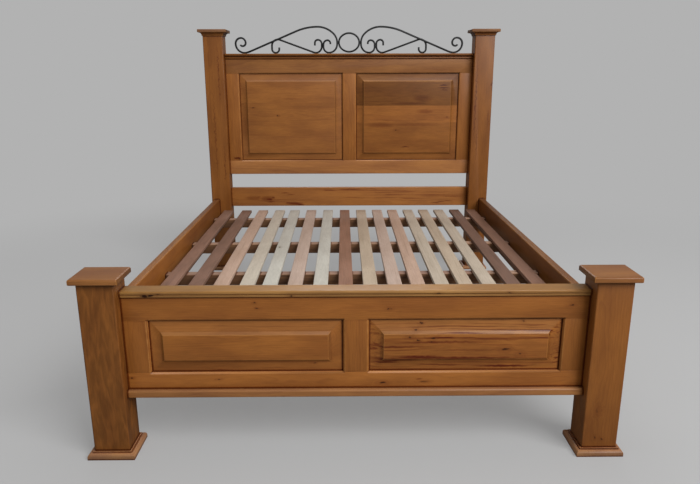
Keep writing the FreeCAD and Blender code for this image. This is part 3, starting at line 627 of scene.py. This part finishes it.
@dataclass(frozen=True)
class BoardLook:
    """What sets one board apart from the next cut of the same timber, and the light and shade painted on its
    faces by which way they face.
    """

    tone: float = 1.0
    figure: float = 0.25
    mottle: float = 0.1
    blush: float = 0.0
    # Painted light and shade: the next three draw faces that look up paler, cooler and lighter, and faces that
    # look down darker.
    top_painted_sheen: float = 0.0
    top_painted_light: float = 1.0
    under_painted_shade: float = 0.55


def node_copy(node: str) -> bmesh.types.BMesh:
    """Copies a CAD node's mesh, merges its loose triangles and joins its flat faces.

    Args:
        node: the CAD node's name.

    Returns:
        The copy, open for more work.
    """
    copy = bmesh.new()
    copy.from_mesh(frame["nodes"][node].data)
    bmesh.ops.remove_doubles(copy, verts=copy.verts, dist=0.01 * MM)
    bmesh.ops.dissolve_limit(copy, angle_limit=math.radians(0.4), verts=copy.verts, edges=copy.edges)
    bmesh.ops.recalc_face_normals(copy, faces=copy.faces)
    copy.faces.layers.int.new("arris")
    return copy


def soften(work: bmesh.types.BMesh, width: float, segments: int = 2, least: float = 30.0,
           wide: float = 0.0) -> None:
    """Rounds the sharp outer edges and marks the faces that this makes as arrises.

    Args:
        work: the mesh.
        width: the rounding's width.
        segments: how many faces go round it.
        least: the smallest angle, in degrees, that counts as sharp.
        wide: only edges that bound a sloping face at least this wide are taken, if it is above zero.
    """
    def sloping(face: bmesh.types.BMFace) -> bool:
        """Whether a face is a chamfer at least as wide as asked."""
        slopes = max(abs(part) for part in face.normal) < SQUARE_ON
        return slopes and face.calc_area() / max(edge.calc_length() for edge in face.edges) > wide

    sharp = []
    for edge in work.edges:
        if len(edge.link_faces) != 2 or not edge.is_convex:
            continue
        if edge.calc_face_angle(0.0) < math.radians(least):
            continue
        if wide and not any(sloping(face) for face in edge.link_faces):
            continue
        sharp.append(edge)
    if not sharp:
        return
    made = bmesh.ops.bevel(
        work, geom=sharp, offset=width, offset_type="OFFSET", segments=segments, profile=0.5,
        affect="EDGES", clamp_overlap=True, material=-1)
    arris = work.faces.layers.int["arris"]
    for face in made["faces"]:
        face[arris] = 1


class StemCorners:
    """Writes where each corner lies in its board's stem, for the timber to be drawn by."""

    def __init__(self, work: bmesh.types.BMesh) -> None:
        """Adds the attributes that the timber reads.

        Args:
            work: the mesh.
        """
        self.place = work.loops.layers.float_vector.new("grain")
        self.board = work.loops.layers.float_color.new("board")
        self.edge = work.loops.layers.float_color.new("edge")
        self.arris = work.faces.layers.int["arris"]

    def write(self, face: bmesh.types.BMFace, look: BoardLook, axes: tuple[int, int, int],
              origin: list[float], start: Triple) -> None:
        """Writes the corners of one face.

        Args:
            face: the face.
            look: what sets its board apart.
            axes: the axes along the fibres, across the board and through it.
            origin: the place on the bed that the board is measured from, 0 along the fibres.
            start: where that place lies in the stem.
        """
        # Painted light and shade: a face is drawn lighter and paler the more it looks up, and darker the more it
        # looks down.
        upward, downward = max(0.0, face.normal.z), min(0.0, face.normal.z)
        tone = look.tone * (1 + (look.top_painted_light - 1) * upward) * (1 + (look.under_painted_shade - 1) * downward ** 2)
        blush = look.blush - look.top_painted_sheen * upward
        end = min(1.0, max(0.0, abs(face.normal[axes[0]]) * 2 - 0.9))
        for loop in face.loops:
            point = loop.vert.co
            loop[self.place] = [point[axis] - origin[axis] + shift for axis, shift in zip(axes, start)]
            loop[self.board] = (tone, look.figure, look.mottle, 1.0)
            loop[self.edge] = (float(face[self.arris]), end, blush, 1.0)


def lay_grain(work: bmesh.types.BMesh, name: str, grain: Grain, looks: tuple[BoardLook, ...],
              seams: tuple[float, ...]) -> None:
    """Splits a piece along its glue lines and lays the grain of each board.

    Args:
        work: the mesh.
        name: what the board's own place in its stem is drawn from.
        grain: the way the fibres run.
        looks: one look for each glued board, from the lowest up.
        seams: the heights of the glue lines between them.
    """
    for seam in seams:
        everything = list(work.verts) + list(work.edges) + list(work.faces)
        bmesh.ops.bisect_plane(work, geom=everything, plane_co=(0.0, 0.0, seam), plane_no=(0.0, 0.0, 1.0))
    corners = StemCorners(work)
    points = [vert.co for vert in work.verts]
    middle = [(min(c[i] for c in points) + max(c[i] for c in points)) / 2 for i in range(3)]
    middle[grain.value[0]] = 0.0
    starts = []
    for number in range(len(looks)):
        draw = random.Random(f"{name} {number}")
        pith = (draw.uniform(-45, 45) * MM, draw.choice((-1, 1)) * draw.uniform(45, 120) * MM)
        starts.append((draw.uniform(-20, 20), *pith))
    for face in work.faces:
        number = sum(face.calc_center_median().z > seam for seam in seams)
        corners.write(face, looks[number], grain.value, middle, starts[number])


def place_piece(work: bmesh.types.BMesh, name: str, material: bpy.types.Material, body: Body) -> bpy.types.Object:
    """Turns a finished bmesh into a piece that rides on its body.

    Args:
        work: the mesh, which is closed afterwards.
        name: the piece's name.
        material: its finish.
        body: the body that it moves with.

    Returns:
        The new object.
    """
    mesh = bpy.data.meshes.new(name)
    work.to_mesh(mesh)
    work.free()
    mesh.shade_smooth()
    mesh.set_sharp_from_angle(angle=math.radians(32))
    mesh.materials.append(material)
    piece = bpy.data.objects.new(name, mesh)
    SCENE.collection.objects.link(piece)
    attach(piece, body.value)
    LOG.info("%-32s %6d faces, rides on %s", name, len(mesh.polygons), body.value)
    return piece


@dataclass
class WoodPiece:
    """One wooden piece, copied from its CAD node, softened along its edges and given its grain."""

    node: str
    grain: Grain = Grain.ACROSS_BED
    timber: Timber = VARNISHED_RIMU
    looks: tuple[BoardLook, ...] = (BoardLook(),)
    seams: tuple[float, ...] = ()
    arris: float = 0.6 * MM
    wide_arris: float = 0.0
    body: Body = Body.BED_FRAME

    def build(self) -> None:
        """Makes the piece and puts it in its node's place."""
        work = node_copy(self.node)
        if self.wide_arris:
            soften(work, self.wide_arris, segments=3, wide=CHAMFER_LEAST)
        soften(work, self.arris)
        lay_grain(work, self.node, self.grain, self.looks, self.seams)
        material = self.timber.material(MARKS.get(self.node, ()), self.node)
        piece = place_piece(work, self.node + "_wood", material, self.body)
        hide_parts(self.node)


@dataclass
class Posts:
    """The four square posts, their caps and the mitred mouldings round their feet."""

    post_arris: float = 0.5 * MM
    cap_arris: float = 2.2 * MM
    mitre_line: float = 0.3 * MM
    post_look: BoardLook = BoardLook(tone=0.79, figure=0.3)
    curly_look: BoardLook = BoardLook(tone=0.62, figure=0.1, mottle=0.9)
    head_plate_look: BoardLook = BoardLook(tone=0.84, figure=0.2, blush=-1.3)
    head_cove_look: BoardLook = BoardLook(tone=0.8, figure=0.2)
    head_plate_from: float = 1372.2 * MM
    foot_cap_look: BoardLook = BoardLook(tone=0.9, figure=0.2, blush=-0.5)
    base_look: BoardLook = BoardLook(tone=1.36, figure=0.3, mottle=0.0, blush=-1.35, under_painted_shade=1.0)

    def build(self) -> None:
        """Builds posts, caps and base mouldings."""
        for side in Side:
            for end in ("head", "foot"):
                curly = side is Side.LEFT and end == "foot"
                look = self.curly_look if curly else self.post_look
                node = f"{end}_post_{side.value}"
                WoodPiece(node, Grain.UPRIGHT, looks=(look,), arris=self.post_arris).build()
            WoodPiece("head_cap_" + side.value, looks=(self.head_cove_look, self.head_plate_look),
                      seams=(self.head_plate_from,), arris=self.cap_arris).build()
            WoodPiece("foot_cap_" + side.value, looks=(self.foot_cap_look,), arris=self.cap_arris).build()
        for node in ("head_post_bases", "foot_post_bases"):
            self.base_mouldings(node)

    def base_mouldings(self, node: str) -> None:
        """Builds the mitred strips, each with its fibres along its own length.

        Args:
            node: the CAD node that holds the strips of two posts.
        """
        whole = node_copy(node)
        soften(whole, self.mitre_line)
        corners = StemCorners(whole)
        for number, strip in enumerate(loose_parts(whole)):
            points = [vert.co for face in strip for vert in face.verts]
            low = [min(c[i] for c in points) for i in range(3)]
            spans = [max(c[i] for c in points) - low[i] for i in range(3)]
            axes = (Grain.ACROSS_BED_FLAT if spans[0] > spans[1] else Grain.ALONG_BED).value
            draw = random.Random(f"{node} {number}")
            start = (draw.uniform(-20, 20), draw.uniform(30, 80) * MM, draw.uniform(30, 80) * MM)
            origin = [0.0, 0.0, 0.0]
            origin[axes[1]] = low[axes[1]]
            for face in strip:
                corners.write(face, self.base_look, axes, origin, start)
        piece = place_piece(whole, node + "_wood", VARNISHED_RIMU.material(), Body.BED_FRAME)
        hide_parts(node)


def loose_parts(work: bmesh.types.BMesh) -> list[list[bmesh.types.BMFace]]:
    """Splits a mesh's faces into the separate solids that they belong to.

    Args:
        work: the mesh.

    Returns:
        A list of faces for each solid.
    """
    left = set(work.faces)
    parts = []
    for first in work.faces:
        if first not in left:
            continue
        left.discard(first)
        part, queue = [], [first]
        while queue:
            face = queue.pop()
            part.append(face)
            for edge in face.edges:
                for neighbour in edge.link_faces:
                    if neighbour in left:
                        left.discard(neighbour)
                        queue.append(neighbour)
        parts.append(part)
    return parts


@dataclass
class PanelledBoard:
    """A frame of rails and stiles round two raised and fielded panels."""

    name: str
    panel_looks: dict[Side, tuple[BoardLook, ...]]
    panel_seams: dict[Side, tuple[float, ...]]
    edge_round: float = 0.4 * MM
    opening_round: float = 1.6 * MM
    shoulder_round: float = 1.0 * MM
    top_look: BoardLook = BoardLook(figure=0.2)
    bottom_look: BoardLook = BoardLook(tone=1.1, figure=0.2, top_painted_sheen=0.8, top_painted_light=1.45)
    stile_look: BoardLook = BoardLook(tone=0.97, figure=0.15)

    def build(self) -> None:
        """Builds the rails, stiles and panels."""
        members = {"top_rail": self.top_look, "bottom_rail": self.bottom_look}
        members.update({"stile_" + place: self.stile_look for place in ("centre", "left", "right")})
        for member, look in members.items():
            grain = Grain.UPRIGHT if member.startswith("stile") else Grain.ACROSS_BED
            WoodPiece(f"{self.name}_{member}", grain, looks=(look,), arris=self.edge_round,
                      wide_arris=self.opening_round).build()
        for side in Side:
            WoodPiece(f"{self.name}_panel_{side.value}", looks=self.panel_looks[side],
                      seams=self.panel_seams[side], arris=self.shoulder_round).build()


@dataclass
class Mouldings:
    """The cap rails of both boards, the lip under the footboard, and the plain rail above the slats."""

    arris: float = 0.7 * MM

    def build(self) -> None:
        """Builds the mouldings and the lower rail."""
        looks = {
            "headboard_cap_rail": BoardLook(tone=0.75, figure=0.2, blush=-0.3),
            "footboard_cap_rail": BoardLook(tone=1.1, figure=0.2, blush=-0.3),
            "footboard_lip": BoardLook(figure=0.15, blush=-0.7, top_painted_sheen=0.4, top_painted_light=1.15),
            "headboard_lower_rail": BoardLook(tone=1.15, figure=0.55, blush=-0.3),
        }
        for node, look in looks.items():
            timber = VARNISHED_SAPWOOD if node == "footboard_cap_rail" else VARNISHED_RIMU
            WoodPiece(node, timber=timber, looks=(look,), arris=self.arris).build()


@dataclass
class SideRails:
    """The side rails and the ledgers that carry the slatted base."""

    rail_arris: float = 0.9 * MM
    ledger_arris: float = 1.0 * MM
    left_look: BoardLook = BoardLook(tone=0.96, figure=0.45, top_painted_sheen=0.6)
    right_look: BoardLook = BoardLook(tone=0.68, figure=0.5, top_painted_sheen=0.6)

    def build(self) -> None:
        """Builds both rails and both ledgers."""
        for side, look in zip(Side, (self.left_look, self.right_look)):
            WoodPiece("side_rail_" + side.value, Grain.ALONG_BED, looks=(look,), arris=self.rail_arris).build()
            WoodPiece("ledger_" + side.value, Grain.ALONG_BED, SAWN_PINE, arris=self.ledger_arris).build()


class SlatCut(Enum):
    """How one slat differs from the plain one of its timber."""

    PLAIN = BoardLook(figure=0.3)
    LIGHT = BoardLook(tone=1.16, figure=0.4)
    DARK = BoardLook(tone=0.8, figure=0.4)
    TAN = BoardLook(tone=0.9, figure=0.3, blush=0.4)
    WARM = BoardLook(tone=0.93, figure=0.3, blush=0.18)
    GREYED = BoardLook(figure=0.2, blush=-0.35)


@dataclass
class SlattedBase:
    """Sixteen slats of mixed timber screwed across four bearers, which lift out as one."""

    bearer_count: int = 4
    bearer_look: BoardLook = BoardLook(tone=0.8, figure=0.5, mottle=0.6, top_painted_sheen=1.2, top_painted_light=2.2)
    arris: float = 0.5 * MM
    screw_head: float = 2.0 * MM
    screw_proud: float = 0.15 * MM
    screw_sunk: float = 0.3 * MM
    screw_stray_mm: Pair = (9.0, 8.0)

    def build(self) -> None:
        """Builds bearers, slats and screws."""
        for number in range(1, self.bearer_count + 1):
            WoodPiece(f"bearer_{number}", timber=SAWN_PINE, looks=(self.bearer_look,), arris=self.arris,
                      body=Body.SLAT_BASE).build()
        slats = [node for node in SLOTS if node.startswith("slat_")]
        plain, light, dark, tan, warm, greyed = SlatCut
        cuts = (light, plain, plain, plain, greyed, greyed, greyed, plain,
                tan, greyed, plain, warm, tan, warm, dark, dark)
        for node, cut in zip(slats, cuts, strict=True):
            WoodPiece(node, Grain.ALONG_BED, SLAT_TIMBERS[SLOTS[node]], looks=(cut.value,),
                      arris=self.arris, body=Body.SLAT_BASE).build()
        self.screws(slats)

    def screws(self, slats: list[str]) -> None:
        """Sinks a screw through each slat over each bearer.

        Args:
            slats: the CAD nodes of the slats.
        """
        work = bmesh.new()
        draw = random.Random("screws")
        stray_x, stray_y = self.screw_stray_mm
        for node in slats:
            low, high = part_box(node)
            for number in range(1, self.bearer_count + 1):
                bearer_low, bearer_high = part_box(f"bearer_{number}")
                place = Vector((
                    (low.x + high.x) / 2 + draw.uniform(-stray_x, stray_x) * MM,
                    (bearer_low.y + bearer_high.y) / 2 + draw.uniform(-stray_y, stray_y) * MM,
                    high.z - self.screw_sunk))
                bmesh.ops.create_cone(
                    work, cap_ends=True, segments=10, radius1=self.screw_head, radius2=self.screw_head * 0.8,
                    depth=2 * (self.screw_proud + self.screw_sunk), matrix=Matrix.Translation(place))
        zinc = ZincPlate("dull_zinc_screws", bright="#77736B", dull="#4C463E")
        place_piece(work, "slat_screws", zinc.material(), Body.SLAT_BASE)


@dataclass
class IronCrest:
    """The scrolls and ring of forged bar, with a weld where bars meet."""

    bars: tuple[str, ...] = ("ring", "scroll_left", "scroll_right", "inner_scroll_left", "inner_scroll_right")
    bar_round: float = 1.9 * MM
    weld: float = 4.2 * MM
    weld_shape: tuple[float, float, float, float] = (0.8, 1.0, 1.6, 1.0)
    inner_weld_rise: float = 36 * MM

    def build(self) -> None:
        """Builds the bars and their welds."""
        for bar in self.bars:
            node = "crest_" + bar
            work = node_copy(node)
            soften(work, self.bar_round, segments=3, least=60.0)
            place = work.loops.layers.float_color.new("edge")
            arris = work.faces.layers.int["arris"]
            for face in work.faces:
                for loop in face.loops:
                    loop[place] = (float(face[arris]), 0.0, 0.0, 1.0)
            piece = place_piece(work, node + "_bar", ForgedIron().material(), Body.BED_FRAME)
            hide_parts(node)
        self.welds()

    def welds(self) -> None:
        """Runs a small bead where the ring meets the scrolls and where a scroll meets its inner one."""
        ring_low, ring_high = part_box("crest_ring")
        inner_low, inner_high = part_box("crest_inner_scroll_left")
        places = (
            Vector((ring_low.x, (ring_low.y + ring_high.y) / 2, (ring_low.z + ring_high.z) / 2)),
            Vector((inner_high.x, inner_low.y, ring_low.z + self.inner_weld_rise)))
        work = bmesh.new()
        for place in places:
            for hand in (-1, 1):
                spot = Vector((place.x * hand, place.y, place.z))
                shape = Matrix.Translation(spot) @ Matrix.Diagonal(self.weld_shape)
                bmesh.ops.create_icosphere(work, subdivisions=2, radius=self.weld, matrix=shape)
        place_piece(work, "crest_welds", ForgedIron().material(), Body.BED_FRAME)


@dataclass
class Fittings:
    """The plated fittings inside the joints, kept as CAD made them."""

    nodes: tuple[str, ...] = ("crest_studs", "rail_hook_plates", "post_slot_plates")

    def build(self) -> None:
        """Gives each fitting its plating."""
        for name in self.nodes:
            fitting = frame["nodes"][name]
            for slot in fitting.material_slots:
                slot.link = "OBJECT"
                slot.material = ZincPlate().material()
            LOG.info("%-32s kept as packed", name)


@dataclass
class Studio:
    """A plain pale floor and backdrop, soft lamps, and the camera where the photograph was taken."""

    backdrop: str = "#B2B2B2"
    floor_paint: str = "#B4B4B4"
    floor_mirrored: str = "#5E5C5A"
    floor_glow: float = 0.45
    sky_level: Pair = (0.22, 0.5)
    floor_reach: float = 14.0
    floor_fade: Pair = (1.7, 4.0)
    camera_place: Triple = (-0.0366, -3.0523, 1.1561)
    tilt_down: float = 16.505
    turn_right: float = 0.542
    roll: float = -0.123
    lens: float = 35.431
    film_width: float = 36.0
    image_width: float = 700.0
    centre_drop: float = 34.7

    def build(self) -> None:
        """Builds floor, world, lamps and camera."""
        self.floor()
        self.world()
        self.lamp("overhead_softbox", (0.0, -0.2, 3.4), (0.0, -0.2, 0.4), size=2.6, power=22.0)
        self.lamp("front_softbox", (4.8, -6.2, 5.9), (0.0, -0.1, 0.6), size=5.4, power=870.0)
        self.lamp("rear_softbox", (0.2, 7.4, 5.2), (0.0, 0.0, 0.5), size=3.4, power=130.0)
        self.camera()

    def floor(self) -> None:
        """Lays a large pale floor, which keeps the bed's soft shadow and fades to the backdrop's colour."""
        work = bmesh.new()
        bmesh.ops.create_grid(work, x_segments=1, y_segments=1, size=self.floor_reach)
        mesh = bpy.data.meshes.new("floor")
        work.to_mesh(mesh)
        work.free()
        floor = bpy.data.objects.new("floor", mesh)
        SCENE.collection.objects.link(floor)
        look = material_look("pale_floor")
        put = look.put
        place = put("TexCoord").outputs["Object"]
        far = put("VectorMath LENGTH", {0: place}).outputs["Value"]
        mirrored = put("LightPath").outputs["Is Glossy Ray"]
        near, beyond = self.floor_fade
        fade = put("MapRange", {
            "Value": far, "From Min": near, "From Max": beyond, "To Min": self.floor_glow}, **SMOOTH)
        seen = put("Math SUBTRACT", {0: 1.0, 1: mirrored})
        fade = put("Math MULTIPLY", {0: fade, 1: seen})
        paints = {6: linear(self.floor_paint), 7: linear(self.floor_mirrored)}
        paint = put("Mix", {0: mirrored, **paints}, data_type="RGBA").outputs[2]
        matt = put("BsdfDiffuse", {"Color": paint})
        glow = put("Emission", {"Color": linear(self.backdrop)})
        mixed = put("MixShader", {0: fade, 1: matt, 2: glow})
        mesh.materials.append(look.close(mixed))

    def world(self) -> None:
        """Surrounds the bed with soft light, brighter overhead; the camera sees the backdrop's colour."""
        look = Look(bpy.data.worlds.new("studio"))
        put = look.put
        heading = put("TexCoord").outputs["Generated"]
        height = put("SeparateXYZ", {0: heading}).outputs["Z"]
        low, overhead = self.sky_level
        level = put("MapRange", {"Value": height, "To Min": low, "To Max": overhead})
        light = put("Background", {"Strength": level})
        seen = put("Background", {"Color": linear(self.backdrop)})
        camera_ray = put("LightPath").outputs["Is Camera Ray"]
        mixed = put("MixShader", {0: camera_ray, 1: light, 2: seen})
        SCENE.world = look.close(mixed)

    def lamp(self, name: str, place: Triple, aim: Triple,
             size: float, power: float) -> None:
        """Hangs a square soft lamp that points at a place.

        Args:
            name: the lamp's name.
            place: where it hangs.
            aim: what it points at.
            size: its side in metres.
            power: its power in watts.
        """
        data = bpy.data.lights.new(name, "AREA")
        data.shape = "SQUARE"
        data.size = size
        data.energy = power
        lamp = bpy.data.objects.new(name, data)
        lamp.location = place
        lamp.rotation_euler = (Vector(aim) - Vector(place)).to_track_quat("-Z", "Y").to_euler()
        SCENE.collection.objects.link(lamp)

    def camera(self) -> None:
        """Sets the camera where the photograph was taken from."""
        data = bpy.data.cameras.new("photo_camera")
        data.lens = self.lens
        data.sensor_width = self.film_width
        data.shift_y = self.centre_drop / self.image_width
        camera = bpy.data.objects.new("photo_camera", data)
        turn = Matrix.Rotation(math.radians(-self.turn_right), 4, "Z")
        tilt = Matrix.Rotation(math.radians(90 - self.tilt_down), 4, "X")
        roll = Matrix.Rotation(math.radians(self.roll), 4, "Z")
        camera.matrix_world = Matrix.Translation(self.camera_place) @ turn @ tilt @ roll
        SCENE.collection.objects.link(camera)
        SCENE.camera = camera
        SCENE.view_settings.view_transform = "Standard"


def main() -> None:
    """Builds the bed, piece by piece, and the studio round it."""
    logging.basicConfig(level=logging.INFO, format="%(message)s")
    plain = (
        BoardLook(tone=1.01, figure=0.2, mottle=0.2, blush=-0.3, top_painted_sheen=0.8, top_painted_light=1.15),
        BoardLook(tone=0.98, figure=0.25, mottle=0.2, blush=-0.25),
        BoardLook(tone=1.01, figure=0.2, mottle=0.2, blush=-0.25, top_painted_sheen=0.8, top_painted_light=1.15))
    dark_top = (
        BoardLook(tone=0.93, figure=0.25, mottle=0.25, blush=-0.15),
        BoardLook(tone=1.1, figure=0.3, mottle=0.25, blush=-0.15),
        BoardLook(tone=0.59, figure=0.4, mottle=0.3, blush=-0.1, top_painted_sheen=1.2, top_painted_light=1.9))
    headboard = PanelledBoard(
        "headboard",
        panel_looks={Side.LEFT: plain, Side.RIGHT: dark_top},
        panel_seams={Side.LEFT: (0.80, 0.99), Side.RIGHT: (0.876, 0.972)},
        top_look=BoardLook(tone=0.9, figure=0.2, blush=-0.6),
        bottom_look=BoardLook(tone=1.29, figure=0.2, blush=-0.65, top_painted_sheen=0.5, top_painted_light=1.2),
        stile_look=BoardLook(tone=1.05, figure=0.15, blush=-0.15))
    footboard = PanelledBoard(
        "footboard",
        panel_looks={
            Side.LEFT: (BoardLook(figure=0.25, mottle=0.2, top_painted_sheen=0.8, top_painted_light=1.1),),
            Side.RIGHT: (BoardLook(figure=1.0, mottle=0.3, top_painted_sheen=1.1, top_painted_light=1.15),)},
        panel_seams={Side.LEFT: (), Side.RIGHT: ()})
    parts = (Posts(), headboard, footboard, Mouldings(), SideRails(), SlattedBase(), IronCrest(), Fittings(),
             Studio())
    for part in parts:
        part.build()
        LOG.info("built %s", type(part).__name__)


if __name__ == "__main__":
    main()
